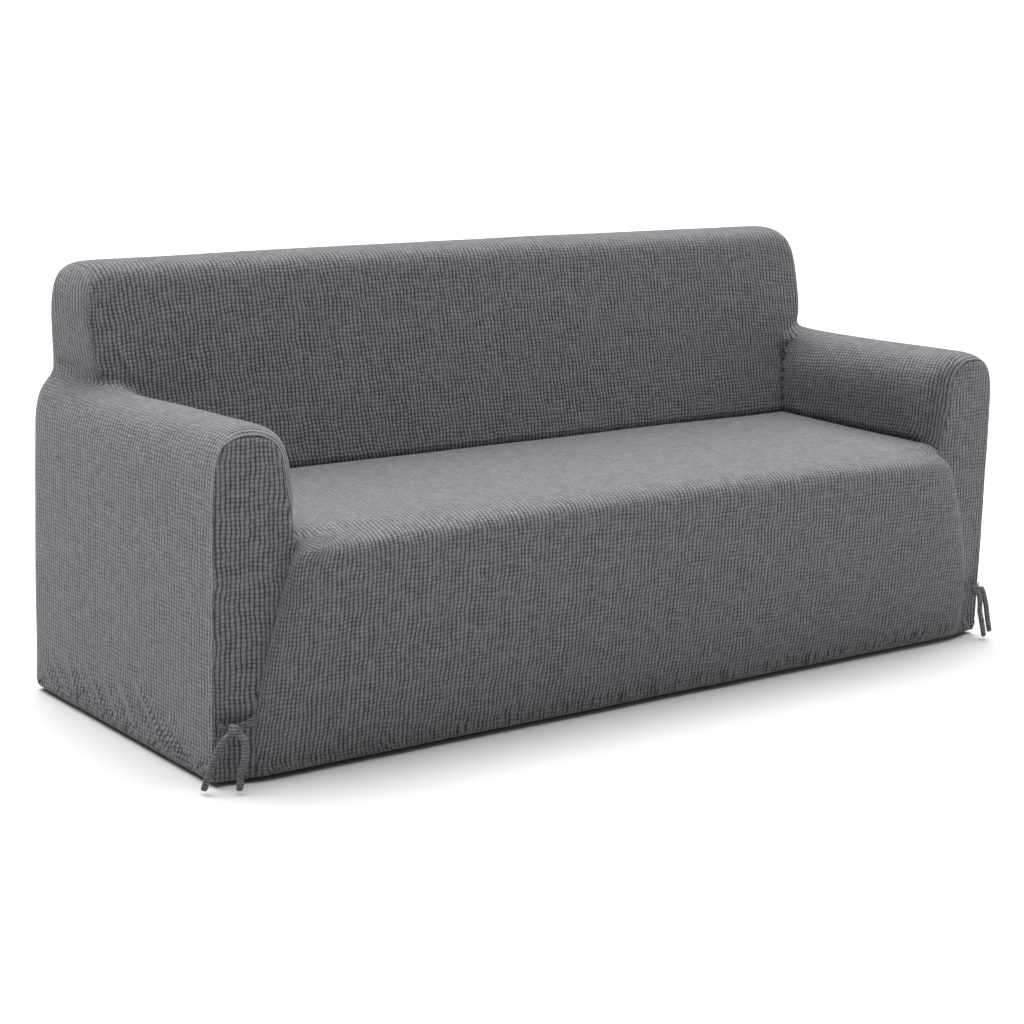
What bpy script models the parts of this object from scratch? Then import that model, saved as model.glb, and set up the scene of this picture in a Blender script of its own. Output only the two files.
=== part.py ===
"""Fitted slipcover for a three-seat sofa, as a hollow cloth shell.

The cover is modelled over the form of the sofa that it hides: a cage of section points is laid as grid
patches, smoothed with Subdivision Surface, cut along its seams into the panels that a maker would sew, and
each panel is given the cloth's thickness. Each front corner of the cover is drawn in by a knotted tie.

Frame: metres, +X along the sofa, -Y to the front, +Z up. The origin is on the floor, under the centre of
the cover's outline. The cage is the right half, and Mirror makes the left.
"""

import math

import bmesh
import bpy
from mathutils import Vector

# Driving dimensions of the covered sofa
HALF_WIDTH = 1.046
FRONT_Y = -0.3584  # front plane of the arms, and of the hem
REAR_Y = 0.4116
ARM_TOP_Z = 0.684
ARM_WIDTH = 0.176
ARM_FALL = 0.033  # fall of the arm's top for each metre towards the back
ARM_FLARE = 0.024  # how far the arm's inner face leans out at its rear end
SEAT_Z = 0.467
SEAT_CROWN = 0.004  # rise of the seat's middle above its creases
SEAT_OVERHANG = 0.056  # the seat's front edge stands this far ahead of the arms
BACK_TOP_Z = 0.914
BACK_FOOT_Y = 0.170  # where the inside back meets the seat
BACK_LEAN = 0.2545  # run of the inside back for each metre of height
BACK_INSETS = (0.062, 0.054, 0.047)  # from the arm's outer face in to the back's end: front, middle, rear
FLOOR_GAP = 0.010  # the hem hangs this far off the floor, but for the middle of its rear, which touches it

# Cloth and sewing
CLOTH = 0.002
SEAM_EASE = 0.0005  # each panel stops this far short of the seam line
MOST_MITRE = 1.3  # limit on how far a fold lengthens the step through the cloth
COVER_LEVELS = 1

# Ties
BAND_THICKNESS = 0.004
KNOT_RADII = (0.0105, 0.0095, 0.0135)
TAIL_DIAMETER = 0.0145
TAIL_POINTS = 10
PIECE_GAP = 0.0003

SEAT_HALF = HALF_WIDTH - ARM_WIDTH
COLUMN_SHARES = (0.0, 0.42, 0.79)  # of the way from the middle to a panel's side edge
SHOULDER_GAP = 0.045  # from the last of those columns' neighbour to the edge
SHOULDER_PULL = 0.8  # how far that neighbour follows the edge's height
EDGE_PULL = 4  # power by which a side edge's offset fades towards the middle

# All heights below are above the hem.
# Sections of the arm from the seat crease, over the top, to the hem: (inset from the outer face, height)
ARM_SECTION = (
    (ARM_WIDTH, SEAT_Z),
    (ARM_WIDTH + 0.004, 0.540),
    (ARM_WIDTH + 0.007, 0.612),
    (0.152, 0.668),
    (0.088, ARM_TOP_Z),
    (0.026, 0.668),
    (0.008, 0.602),
    (0.007, 0.540),
    (0.005, 0.480),
    (0.004, 0.440),
    (0.003, 0.400),
    (0.001, 0.300),
    (0.0, 0.125),
    (0.0, 0.040),
    (0.0, 0.0),
)
CROWN = 4  # index of the arm's highest point in ARM_SECTION
SHOULDER = 6  # index where the outer face begins
# The seam of the arm's front panel runs inside that section, because the side panel wraps round the edge
FRONT_SEAM = (
    (ARM_WIDTH, 0.452),
    (0.151, 0.535),
    (0.150, 0.602),
    (0.133, 0.650),
    (0.078, 0.664),
    (0.019, 0.654),
    (0.003, 0.598),
    (0.003, 0.540),
    (0.002, 0.480),
    (0.002, 0.440),
    (0.002, 0.400),
    (0.001, 0.300),
    (0.001, 0.125),
    (0.001, 0.040),
    (0.003, 0.0),
)
OUTER_SEAM_SET_BACK = 0.008  # of that seam, down the arm's outer edge
ARM_ROWS_Y = (FRONT_Y, FRONT_Y + 0.022, FRONT_Y + 0.075, -0.03)
OUTER_JUNCTION_Y = 0.19  # the row of the outer face that lines up with the inside back

# Behind the arm's crown the surface climbs to the back's end: (inset, height) at mid depth and at the rear
CLIMB_SECTIONS = {
    CROWN: ((0.066, 0.666), (0.048, 0.668)),
    CROWN + 1: ((0.024, 0.644), (0.020, 0.645)),
    CROWN + 2: ((0.007, 0.596), (0.007, 0.596)),
}

# End face of the back above the arm: (further inset, height)
BACK_END_SECTION = ((0.004, 0.695), (0.0, 0.760), (0.0, 0.850), (0.030, 0.899))

# Middle of the inside back from the crease upwards, and of the outside back downwards
INSIDE_HEIGHTS = (SEAT_Z, 0.530, 0.590, 0.635, 0.670, 0.705, 0.770, 0.850, 0.900)
OUTSIDE_HEIGHTS = (
    *(0.900, 0.850, 0.770, 0.705, 0.670, 0.640, 0.600, 0.540),
    *(0.480, 0.440, 0.400, 0.300, 0.125, 0.040, -FLOOR_GAP),
)

# Front drop from the hem up: (height, how far ahead of the arms, its side seam's inset, how far ahead that seam is,
# how far the drop bulges past the seam)
FRONT_DROP = (
    (0.0, 0.010, 0.088, 0.006, -0.020),
    (0.040, 0.018, 0.083, 0.011, -0.004),
    (0.125, 0.032, 0.078, 0.014, 0.012),
    (0.300, 0.048, 0.125, 0.010, 0.028),
    (0.400, 0.053, 0.157, 0.003, 0.014),
    (0.458, SEAT_OVERHANG, ARM_WIDTH, 0.0, 0.016),
)
SIDE_SEAM_TOP_Z = 0.436  # of the front drop's highest row, at the arm
# The middle of the arm's front panel, for each row from the hem up: (how far behind its seams, how far above)
ARM_FRONT_SHIFTS = (
    (0.002, -0.001),
    (0.008, 0.001),
    (0.008, 0.0),
    (0.0, 0.0),
    (-0.002, 0.0),
    (-0.003, 0.0),
    (-0.003, 0.0),
    (-0.003, 0.0),
)

PANELS = ("seat_and_front", "inside_back", "outside_back", "side", "arm_front")

# Creases: 1 keeps an edge sharp, and less leaves it a small round
TUCK_CREASE = 1.0
FRONT_SEAM_CREASE = 0.55
DROP_SEAM_CREASE = 0.35
REAR_CORNER_CREASE = 0.42
BACK_EDGE_CREASE = 0.25

# Ties. Points run (inset from the arm's outer face, ahead of its front plane, height above the hem).
KNOT_AT = {"left": (0.031, 0.018, 0.110), "right": (0.043, 0.022, 0.112)}
BANDS = {
    "outer_band": {"seam": (0.000, 0.004, 0.120), "wide": 0.020, "narrow": 0.012},
    "inner_band": {"seam": (0.079, 0.021, 0.124), "wide": 0.021, "narrow": 0.012},
}
TAILS = {
    ("left", "outer_tail"): (
        (0.0200, 0.0200, 0.1000),
        (0.0020, 0.0220, 0.0870),
        (-0.0110, 0.0215, 0.0620),
        (-0.0210, 0.0175, 0.0310),
        (-0.0310, 0.0120, -0.0020),
    ),
    ("left", "inner_tail"): (
        (0.0370, 0.0310, 0.1010),
        (0.0400, 0.0430, 0.0890),
        (0.0360, 0.0490, 0.0620),
        (0.0290, 0.0490, 0.0310),
        (0.0250, 0.0490, -0.0020),
    ),
    ("right", "outer_tail"): (
        (0.0290, 0.0300, 0.1120),
        (0.0270, 0.0340, 0.1030),
        (0.0210, 0.0385, 0.0780),
        (0.0165, 0.0430, 0.0440),
        (0.0100, 0.0470, 0.0080),
    ),
    ("right", "inner_tail"): (
        (0.0425, 0.0355, 0.1020),
        (0.0435, 0.0400, 0.0880),
        (0.0420, 0.0410, 0.0620),
        (0.0340, 0.0410, 0.0370),
        (0.0215, 0.0410, -0.0030),
    ),
}

FABRIC_COLOUR = (0.118, 0.110, 0.116, 1.0)
TIE_COLOUR = (0.098, 0.093, 0.097, 1.0)
FABRIC_ROUGHNESS = 0.9


def fabric(name, colour):
    """A matt cloth material."""
    made = bpy.data.materials.new(name)
    made.use_nodes = True
    shader = made.node_tree.nodes["Principled BSDF"]
    shader.inputs["Base Color"].default_value = colour
    shader.inputs["Roughness"].default_value = FABRIC_ROUGHNESS
    shader.inputs["Metallic"].default_value = 0.0
    made.diffuse_color = colour
    return made


def back_y(z):
    """Depth of the inside back's plane at a height."""
    return BACK_FOOT_Y + BACK_LEAN * (z - SEAT_Z)


def at_side(inset, y, z):
    """A point measured in from the right arm's outer face."""
    return Vector((HALF_WIDTH - inset, y, z))


# ---- section points of the cage ----


def arm_point(column, row):
    """Point of the arm at a row: 0 is the front seam, and the last row lies on the inside back's plane."""
    if row == 0:
        inset, z = FRONT_SEAM[column]
        return at_side(inset, FRONT_Y + OUTER_SEAM_SET_BACK * (column > CROWN), z)
    inset, z = ARM_SECTION[column]
    if row < len(ARM_ROWS_Y):
        y = ARM_ROWS_Y[row]
    else:
        y = back_y(z) if column <= CROWN else OUTER_JUNCTION_Y
    if 0 < column <= SHOULDER:
        high = min(1.0, (z - SEAT_Z) / (ARM_SECTION[2][1] - SEAT_Z))
        z -= ARM_FALL * (y - FRONT_Y) * high
        if column < CROWN:
            inset -= ARM_FLARE * high * max(0.0, y / BACK_FOOT_Y)
    return at_side(inset, y, z)


def climb_point(column, step):
    """Point of the side behind the arm: step 0 at the junction, 1 at mid depth, 2 at the rear."""
    if step == 0:
        return arm_point(column, len(ARM_ROWS_Y))
    inset, z = CLIMB_SECTIONS.get(column, (ARM_SECTION[column],) * 2)[step - 1]
    y = (OUTER_JUNCTION_Y + REAR_Y) / 2 if step == 1 else REAR_Y
    return at_side(inset, y, z)


def back_end_point(level, step):
    """Point of the back's end face: level 0 is the climb from the crown, and step runs to the rear."""
    if level == 0:
        return climb_point(CROWN, step)
    further, z = BACK_END_SECTION[level - 1]
    inset = BACK_INSETS[step] + further
    front = back_y(z)
    at_top = level == len(BACK_END_SECTION)
    z_there = z + 0.010 if at_top and step == 1 else z
    return at_side(inset, front + (REAR_Y - front) * step / 2, z_there)


def spread(middle_z, edge, depth, gap=SHOULDER_GAP):
    """A row of points from the middle of the cover to its side edge, where depth(z) gives their depth."""
    row = []
    for share in COLUMN_SHARES:
        pull = share**EDGE_PULL
        z = middle_z + (edge.z - middle_z) * pull
        row.append(Vector((SEAT_HALF * share + (edge.x - SEAT_HALF) * pull, depth(z), z)))
    z = middle_z + (edge.z - middle_z) * SHOULDER_PULL
    row.append(Vector((edge.x - gap, depth(z), z)))
    row.append(edge.copy())
    return row


def front_rows():
    """Rows of the front drop and the seat, from the hem to the crease."""
    rows = []
    for z, ahead, inset, seam_ahead, bulge in FRONT_DROP:
        edge = at_side(inset, FRONT_Y - seam_ahead, min(z, SIDE_SEAM_TOP_Z))
        rows.append(spread(z, edge, lambda z, y=FRONT_Y - ahead: y, -bulge))
    for row, y in enumerate(ARM_ROWS_Y):
        rows.append(spread(SEAT_Z + SEAT_CROWN, arm_point(0, row), lambda z, y=y: y))
    rows.append(spread(SEAT_Z, arm_point(0, len(ARM_ROWS_Y)), lambda z: BACK_FOOT_Y))
    return rows


def inside_back_edge():
    """Side edge of the inside back: up the arm's crease, over its crown and up the back's end."""
    junction = len(ARM_ROWS_Y)
    creased = [arm_point(column, junction) for column in range(CROWN + 1)]
    return creased + [back_end_point(level, 0) for level in range(1, len(BACK_END_SECTION) + 1)]


def inside_back_rows():
    """Rows of the inside back and the back's top, from the crease to the top's rear edge."""
    rows = [spread(z, edge, back_y) for z, edge in zip(INSIDE_HEIGHTS, inside_back_edge(), strict=True)]
    top = len(BACK_END_SECTION)
    crown_y = (back_y(BACK_TOP_Z) + REAR_Y) / 2
    rows.append(spread(BACK_TOP_Z, back_end_point(top, 1), lambda z: crown_y))
    rows.append(spread(OUTSIDE_HEIGHTS[0], back_end_point(top, 2), lambda z: REAR_Y))
    return rows


def outside_back_rows():
    """Rows of the outside back, from the top's rear edge down to the hem."""
    top = len(BACK_END_SECTION)
    edges = [back_end_point(level, 2) for level in range(top, 0, -1)]
    edges += [climb_point(column, 2) for column in range(CROWN, len(ARM_SECTION))]
    return [spread(z, edge, lambda z: REAR_Y) for z, edge in zip(OUTSIDE_HEIGHTS, edges, strict=True)]


def arm_front_rows():
    """Rows of the arm's front panel, from the hem up to the arch over its top."""
    inner = [row[-1] for row in front_rows()[: len(FRONT_DROP)]]
    inner += [arm_point(column, 0) for column in range(3)]
    outer = [arm_point(column, 0) for column in range(len(ARM_SECTION) - 1, SHOULDER - 1, -1)]
    rows = []
    for a, b, (behind, above) in zip(inner, outer, ARM_FRONT_SHIFTS, strict=False):
        row = [a.lerp(b, step / 4) for step in range(5)]
        for point in row[1:-1]:
            point.y += behind
            point.z += above
        rows.append(row)
    rows.append([arm_point(column, 0) for column in range(2, SHOULDER + 1)])
    return rows


# ---- cage ----


def lay_patch(bm, rows, panel):
    """A grid of faces through rows of points, facing u x v, marked as belonging to a panel."""
    across, along = len(rows[0]) - 1, len(rows) - 1
    made = bmesh.ops.create_grid(bm, x_segments=across, y_segments=along, size=0.5)["verts"]
    for vert in made:
        vert.co = rows[round((vert.co.y + 0.5) * along)][round((vert.co.x + 0.5) * across)]
    for face in {face for vert in made for face in vert.link_faces}:
        face.material_index = PANELS.index(panel)


def crease_path(bm, points, weight):
    """Weights the edges that run along a path of cage points."""
    layer = bm.edges.layers.float.get("crease_edge") or bm.edges.layers.float.new("crease_edge")
    tuples = {tuple(round(c, 5) for c in point) for point in points}
    steps = {
        frozenset((tuple(round(c, 5) for c in a), tuple(round(c, 5) for c in b)))
        for a, b in zip(points, points[1:])
    }
    for edge in bm.edges:
        ends = frozenset(tuple(round(c, 5) for c in vert.co) for vert in edge.verts)
        if ends <= tuples and ends in steps:
            edge[layer] = weight


def build_cage():
    """The right half of the cover's cage, open at the middle and at the hem."""
    bm = bmesh.new()
    junction = len(ARM_ROWS_Y)
    hem = len(ARM_SECTION) - 1
    lay_patch(bm, front_rows(), "seat_and_front")
    lay_patch(bm, inside_back_rows(), "inside_back")
    lay_patch(bm, outside_back_rows(), "outside_back")
    arm = [[arm_point(column, row) for row in range(junction + 1)] for column in range(hem, -1, -1)]
    lay_patch(bm, arm, "side")
    behind = [[climb_point(column, step) for step in range(3)] for column in range(hem, CROWN - 1, -1)]
    lay_patch(bm, behind, "side")
    end = [[back_end_point(level, step) for step in range(3)] for level in range(len(BACK_END_SECTION) + 1)]
    lay_patch(bm, end, "side")
    lay_patch(bm, arm_front_rows(), "arm_front")
    bmesh.ops.remove_doubles(bm, verts=bm.verts[:], dist=0.0001)
    crease_cage(bm)
    bmesh.ops.translate(bm, vec=(0, 0, FLOOR_GAP), verts=bm.verts[:])
    return bm


def crease_cage(bm):
    """Holds the tucks sharp, and the seams and corners to a small round."""
    junction = len(ARM_ROWS_Y)
    edge = inside_back_edge()
    crease_path(bm, inside_back_rows()[0], TUCK_CREASE)
    crease_path(bm, [arm_point(0, row) for row in range(junction + 1)], TUCK_CREASE)
    crease_path(bm, edge[:3], TUCK_CREASE)
    crease_path(bm, edge[2:4], TUCK_CREASE / 2)
    crease_path(bm, edge[CROWN:], BACK_EDGE_CREASE)
    crease_path(bm, [arm_point(column, 0) for column in range(len(ARM_SECTION))], FRONT_SEAM_CREASE)
    drop = [row[-1] for row in front_rows()[: len(FRONT_DROP)]]
    crease_path(bm, drop + [arm_point(0, 0)], DROP_SEAM_CREASE)
    crease_path(bm, [row[-1] for row in outside_back_rows()], REAR_CORNER_CREASE)
    crease_path(bm, outside_back_rows()[0], BACK_EDGE_CREASE)


def smooth_cover(collection):
    """The whole cover as one smooth open surface, as a mesh whose material indexes name the panels."""
    mesh = bpy.data.meshes.new("cover_cage")
    cage = build_cage()
    cage.to_mesh(mesh)
    cage.free()
    guide = bpy.data.objects.new("cover_cage", mesh)
    for panel in PANELS:
        mesh.materials.append(fabric("guide_" + panel, FABRIC_COLOUR))
    collection.objects.link(guide)
    mirror = guide.modifiers.new("Mirror", "MIRROR")
    mirror.use_clip = True
    mirror.merge_threshold = 0.0001
    smooth = guide.modifiers.new("Subdivision", "SUBSURF")
    smooth.levels = smooth.render_levels = COVER_LEVELS
    guide.hide_render = True
    guide.display_type = "WIRE"
    evaluated = guide.evaluated_get(bpy.context.evaluated_depsgraph_get())
    return bpy.data.meshes.new_from_object(evaluated)


# ---- panels ----


def inward_step(vert, normal, ease):
    """How a seam vertex moves, within the cloth, to leave half of the seam's gap."""
    pull = Vector()
    for edge in vert.link_edges:
        if edge.is_boundary:
            face = edge.link_faces[0]
            along = (edge.verts[1].co - edge.verts[0].co).normalized()
            across = face.normal.cross(along).normalized()
            if across.dot(face.calc_center_median() - vert.co) < 0:
                across.negate()
            pull += across
    if pull.length < 1e-6:
        return Vector()
    return pull.normalized() * ease * 2 / max(pull.length, 1.0)


def cut_panel(cover, keep):
    """One panel as a closed solid: its outer faces, the same faces a cloth's thickness inside, and a rim."""
    bm = bmesh.new()
    bm.from_mesh(cover)
    bm.normal_update()
    depth = bm.verts.layers.float_vector.new("depth")
    on_hem = bm.verts.layers.int.new("on_hem")
    for vert in bm.verts:
        vert[depth] = vert.normal * (-CLOTH * min(vert.calc_shell_factor(), MOST_MITRE))
        vert[on_hem] = int(vert.is_boundary)
    bmesh.ops.delete(bm, geom=[face for face in bm.faces if not keep(face)], context="FACES")
    steps = {}
    for vert in bm.verts:
        if vert.is_boundary:
            step = inward_step(vert, vert.normal, SEAM_EASE)
            if vert[on_hem]:
                step.z = 0.0
            steps[vert] = step
    for vert, step in steps.items():
        vert.co += step
    outer = bm.faces[:]
    inner = {vert: bm.verts.new(vert.co + Vector(vert[depth])) for vert in bm.verts[:]}
    rim = [edge for edge in bm.edges if edge.is_boundary]
    for edge in rim:
        loop = edge.link_loops[0]
        a, b = loop.vert, loop.link_loop_next.vert
        bm.faces.new((b, a, inner[a], inner[b]))
    for face in outer:
        bm.faces.new([inner[vert] for vert in reversed(face.verts)])
    bm.normal_update()
    return bm


def add_panel(name, cover, keep, material, collection):
    """A panel's solid as an object."""
    bm = cut_panel(cover, keep)
    mesh = bpy.data.meshes.new(name)
    for face in bm.faces:
        face.material_index = 0
    bm.to_mesh(mesh)
    bm.free()
    mesh.materials.append(material)
    mesh.shade_smooth()
    mesh.set_sharp_from_angle(angle=math.radians(40))
    panel = bpy.data.objects.new(name, mesh)
    collection.objects.link(panel)
    return panel


def build_panels(cover, material, collection):
    """Three panels across the cover, and a side and an arm front at each end."""
    for panel in ("seat_and_front", "inside_back", "outside_back"):
        index = PANELS.index(panel)
        add_panel(panel, cover, lambda face, index=index: face.material_index == index, material, collection)
    for panel in ("side", "arm_front"):
        index = PANELS.index(panel)
        for end, sign in (("left", -1), ("right", 1)):
            add_panel(
                f"{panel}_{end}",
                cover,
                lambda face, index=index, sign=sign: (
                    face.material_index == index and face.calc_center_median().x * sign > 0
                ),
                material,
                collection,
            )


# ---- ties ----


def tie_point(point, sign):
    """A tie's point in the frame, from its inset, its distance ahead of the arm's front and its height."""
    inset, ahead, z = point
    return Vector((sign * (HALF_WIDTH - inset), FRONT_Y - ahead, z + FLOOR_GAP))


def smooth_route(points, count):
    """count points along a Catmull-Rom curve through the route's points."""
    padded = [points[0] * 2 - points[1], *points, points[-1] * 2 - points[-2]]
    route = []
    for step in range(count):
        place = step / (count - 1) * (len(points) - 1)
        i = min(int(place), len(points) - 2)
        t = place - i
        a, b, c, d = padded[i : i + 4]
        route.append(
            0.5
            * (2 * b + (c - a) * t + (2 * a - 5 * b + 4 * c - d) * t**2 + (3 * b - a - 3 * c + d) * t**3)
        )
    return route


def add_knot(name, centre, material, collection):
    """The rounded knot of a tie."""
    bm = bmesh.new()
    bmesh.ops.create_uvsphere(bm, u_segments=12, v_segments=8, radius=1.0)
    bmesh.ops.scale(bm, vec=KNOT_RADII, verts=bm.verts[:])
    add_tie_mesh(name, bm, centre, material, collection)


def add_band(name, seam, knot, wide, narrow, material, collection):
    """A flat band from the seam to the knot, which narrows as it is gathered in."""
    run = knot - seam
    length = run.length - KNOT_RADII[0] - PIECE_GAP * 2
    bm = bmesh.new()
    bmesh.ops.create_cube(bm, size=1.0)
    bmesh.ops.scale(bm, vec=(length, BAND_THICKNESS, 1.0), verts=bm.verts[:])
    bmesh.ops.translate(bm, vec=(length / 2, 0, 0), verts=bm.verts[:])
    for vert in bm.verts:
        vert.co.z *= wide if vert.co.x < length / 2 else narrow
    turn = run.to_track_quat("X", "Z").to_matrix().to_4x4()
    bmesh.ops.transform(bm, matrix=turn, verts=bm.verts[:])
    add_tie_mesh(name, bm, seam, material, collection)


def add_tie_mesh(name, bm, location, material, collection):
    mesh = bpy.data.meshes.new(name)
    bm.to_mesh(mesh)
    bm.free()
    mesh.materials.append(material)
    mesh.shade_smooth()
    mesh.set_sharp_from_angle(angle=math.radians(40))
    piece = bpy.data.objects.new(name, mesh)
    piece.location = location
    collection.objects.link(piece)


def add_tail(name, points, material, collection):
    """A free end of a tie, as a round tube on its route."""
    curve = bpy.data.curves.new(name, "CURVE")
    curve.dimensions = "3D"
    curve.bevel_depth = TAIL_DIAMETER / 2
    curve.bevel_resolution = 2
    curve.use_fill_caps = True
    route = smooth_route(points, TAIL_POINTS)
    spline = curve.splines.new("POLY")
    spline.points.add(len(route) - 1)
    for point, place in zip(spline.points, route, strict=True):
        point.co = (*place, 1.0)
    curve.materials.append(material)
    collection.objects.link(bpy.data.objects.new(name, curve))


def build_ties(material, collection):
    """A knotted tie across the foot of each arm's front."""
    for end, sign in (("left", -1), ("right", 1)):
        knot = tie_point(KNOT_AT[end], sign)
        add_knot(f"tie_{end}_knot", knot, material, collection)
        for band, facts in BANDS.items():
            seam = tie_point(facts["seam"], sign)
            add_band(f"tie_{end}_{band}", seam, knot, facts["wide"], facts["narrow"], material, collection)
    for (end, tail), points in TAILS.items():
        route = [tie_point(point, -1 if end == "left" else 1) for point in points]
        add_tail(f"tie_{end}_{tail}", route, material, collection)


def main():
    for old in list(bpy.data.objects):
        bpy.data.objects.remove(old)
    parts = bpy.data.collections.new("sofa_slipcover")
    guides = bpy.data.collections.new("guides")
    for collection in (parts, guides):
        bpy.context.scene.collection.children.link(collection)
    cover = smooth_cover(guides)
    build_panels(cover, fabric("stretch_fabric", FABRIC_COLOUR), parts)
    build_ties(fabric("tie_fabric", TIE_COLOUR), parts)
    bpy.data.meshes.remove(cover)


main()
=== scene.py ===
"""Looks of a fitted slipcover for a three-seat sofa: its stretched cloth panels and its knotted ties.

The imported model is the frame. The cloth is one smooth cage over the form of the hidden sofa, refined, given its
gathers, creases and seams, and cut into the panels that a maker would sew. Each cloth panel carries a UV map
in metres along the cloth, and the raised squares of the knit follow it.

Frame: metres, +X along the sofa, -Y to the front, +Z up. The origin is on the floor.
"""

import math

import bmesh
import bpy
import numpy as np
from mathutils import Matrix, Vector, noise


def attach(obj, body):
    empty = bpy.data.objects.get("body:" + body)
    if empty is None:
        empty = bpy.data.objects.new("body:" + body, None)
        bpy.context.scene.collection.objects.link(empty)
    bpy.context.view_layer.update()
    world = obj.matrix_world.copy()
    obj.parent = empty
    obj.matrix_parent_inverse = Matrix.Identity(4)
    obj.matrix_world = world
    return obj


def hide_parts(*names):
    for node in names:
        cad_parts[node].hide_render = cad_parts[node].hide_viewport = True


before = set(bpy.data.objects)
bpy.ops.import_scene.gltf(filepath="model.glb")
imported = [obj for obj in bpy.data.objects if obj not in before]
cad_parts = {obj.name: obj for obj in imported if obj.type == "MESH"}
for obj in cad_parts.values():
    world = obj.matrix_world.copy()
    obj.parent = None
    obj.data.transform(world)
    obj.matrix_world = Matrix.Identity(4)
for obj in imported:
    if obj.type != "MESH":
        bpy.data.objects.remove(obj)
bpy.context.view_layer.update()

# Camera
CAMERA_TARGET = Vector((-0.074, 0.0256, 0.352))
CAMERA_DISTANCE = 5.198
CAMERA_YAW = math.radians(37.02)
CAMERA_PITCH = math.radians(12.61)
CAMERA_ROLL = math.radians(1.53)
CAMERA_LENS = 82.36

# Driving dimensions of the covered sofa
HALF_WIDTH = 1.046
FRONT_Y = -0.3584  # front plane of the arms, and of the hem
REAR_Y = 0.4116
ARM_TOP_Z = 0.684
ARM_WIDTH = 0.176
ARM_FALL = 0.033  # fall of the arm's top for each metre towards the back
ARM_FLARE = 0.024  # how far the arm's inner face leans out at its rear end
SEAT_Z = 0.467
SEAT_CROWN = 0.004  # rise of the seat's middle above its creases
SEAT_OVERHANG = 0.056  # the seat's front edge stands this far ahead of the arms
BACK_TOP_Z = 0.914
BACK_FOOT_Y = 0.170  # where the inside back meets the seat
BACK_LEAN = 0.2545  # run of the inside back for each metre of height
BACK_INSETS = (0.062, 0.054, 0.047)  # from the arm's outer face in to the back's end: front, middle, rear
FLOOR_GAP = 0.010  # the hem hangs this far off the floor, but for the middle of its rear, which touches it

# Cloth and sewing
CLOTH = 0.0016
SEAM_EASE = 0.0001  # each panel stops this far short of the seam line
COVER_LEVELS = 3

SEAT_HALF = HALF_WIDTH - ARM_WIDTH
COLUMN_SHARES = (0.0, 0.42, 0.79)  # of the way from the middle to a panel's side edge
SHOULDER_GAP = 0.045  # from the last of those columns' neighbour to the edge
SHOULDER_PULL = 0.8  # how far that neighbour follows the edge's height
EDGE_PULL = 4  # power by which a side edge's offset fades towards the middle

# All heights below are above the hem.
# Sections of the arm from the seat crease, over the top, to the hem: (inset from the outer face, height)
ARM_SECTION = (
    (ARM_WIDTH, SEAT_Z),
    (ARM_WIDTH + 0.004, 0.540),
    (ARM_WIDTH + 0.007, 0.612),
    (0.152, 0.668),
    (0.088, ARM_TOP_Z),
    (0.026, 0.668),
    (0.008, 0.602),
    (0.007, 0.540),
    (0.005, 0.480),
    (0.004, 0.440),
    (0.003, 0.400),
    (0.001, 0.300),
    (0.0, 0.125),
    (0.0, 0.040),
    (0.0, 0.0),
)
CROWN = 4  # index of the arm's highest point in ARM_SECTION
SHOULDER = 6  # index where the outer face begins
# The seam of the arm's front panel runs inside that section, because the side panel wraps round the edge
FRONT_SEAM = (
    (ARM_WIDTH, 0.452),
    (0.151, 0.535),
    (0.150, 0.602),
    (0.133, 0.650),
    (0.078, 0.664),
    (0.019, 0.654),
    (0.003, 0.598),
    (0.003, 0.540),
    (0.002, 0.480),
    (0.002, 0.440),
    (0.002, 0.400),
    (0.001, 0.300),
    (0.001, 0.125),
    (0.001, 0.040),
    (0.003, 0.0),
)
OUTER_SEAM_SET_BACK = 0.008  # of that seam, down the arm's outer edge
ARM_ROWS_Y = (FRONT_Y, FRONT_Y + 0.022, FRONT_Y + 0.075, -0.03)
OUTER_JUNCTION_Y = 0.19  # the row of the outer face that lines up with the inside back

# Behind the arm's crown the surface climbs to the back's end: (inset, height) at mid depth and at the rear
CLIMB_SECTIONS = {
    CROWN: ((0.066, 0.666), (0.048, 0.668)),
    CROWN + 1: ((0.024, 0.644), (0.020, 0.645)),
    CROWN + 2: ((0.007, 0.596), (0.007, 0.596)),
}

# End face of the back above the arm: (further inset, height)
BACK_END_SECTION = ((0.004, 0.695), (0.0, 0.760), (0.0, 0.850), (0.030, 0.899))

# Middle of the inside back from the crease upwards, and of the outside back downwards
INSIDE_HEIGHTS = (SEAT_Z, 0.530, 0.590, 0.635, 0.670, 0.705, 0.770, 0.850, 0.900)
OUTSIDE_HEIGHTS = (
    *(0.900, 0.850, 0.770, 0.705, 0.670, 0.640, 0.600, 0.540),
    *(0.480, 0.440, 0.400, 0.300, 0.125, 0.040, -FLOOR_GAP),
)

# Front drop from the hem up: (height, how far ahead of the arms, its side seam's inset, how far ahead that seam is,
# how far the drop bulges past the seam)
FRONT_DROP = (
    (0.0, 0.010, 0.088, 0.006, -0.020),
    (0.040, 0.018, 0.083, 0.011, -0.004),
    (0.125, 0.032, 0.078, 0.014, 0.012),
    (0.300, 0.048, 0.125, 0.010, 0.028),
    (0.400, 0.053, 0.157, 0.003, 0.014),
    (0.458, SEAT_OVERHANG, ARM_WIDTH, 0.0, 0.016),
)
SIDE_SEAM_TOP_Z = 0.436  # of the front drop's highest row, at the arm
# The middle of the arm's front panel, for each row from the hem up: (how far behind its seams, how far above)
ARM_FRONT_SHIFTS = (
    (0.002, -0.001),
    (0.008, 0.001),
    (0.008, 0.0),
    (0.0, 0.0),
    (-0.002, 0.0),
    (-0.003, 0.0),
    (-0.003, 0.0),
    (-0.003, 0.0),
)

PANELS = ("seat_and_front", "inside_back", "outside_back", "side", "arm_front")

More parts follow.
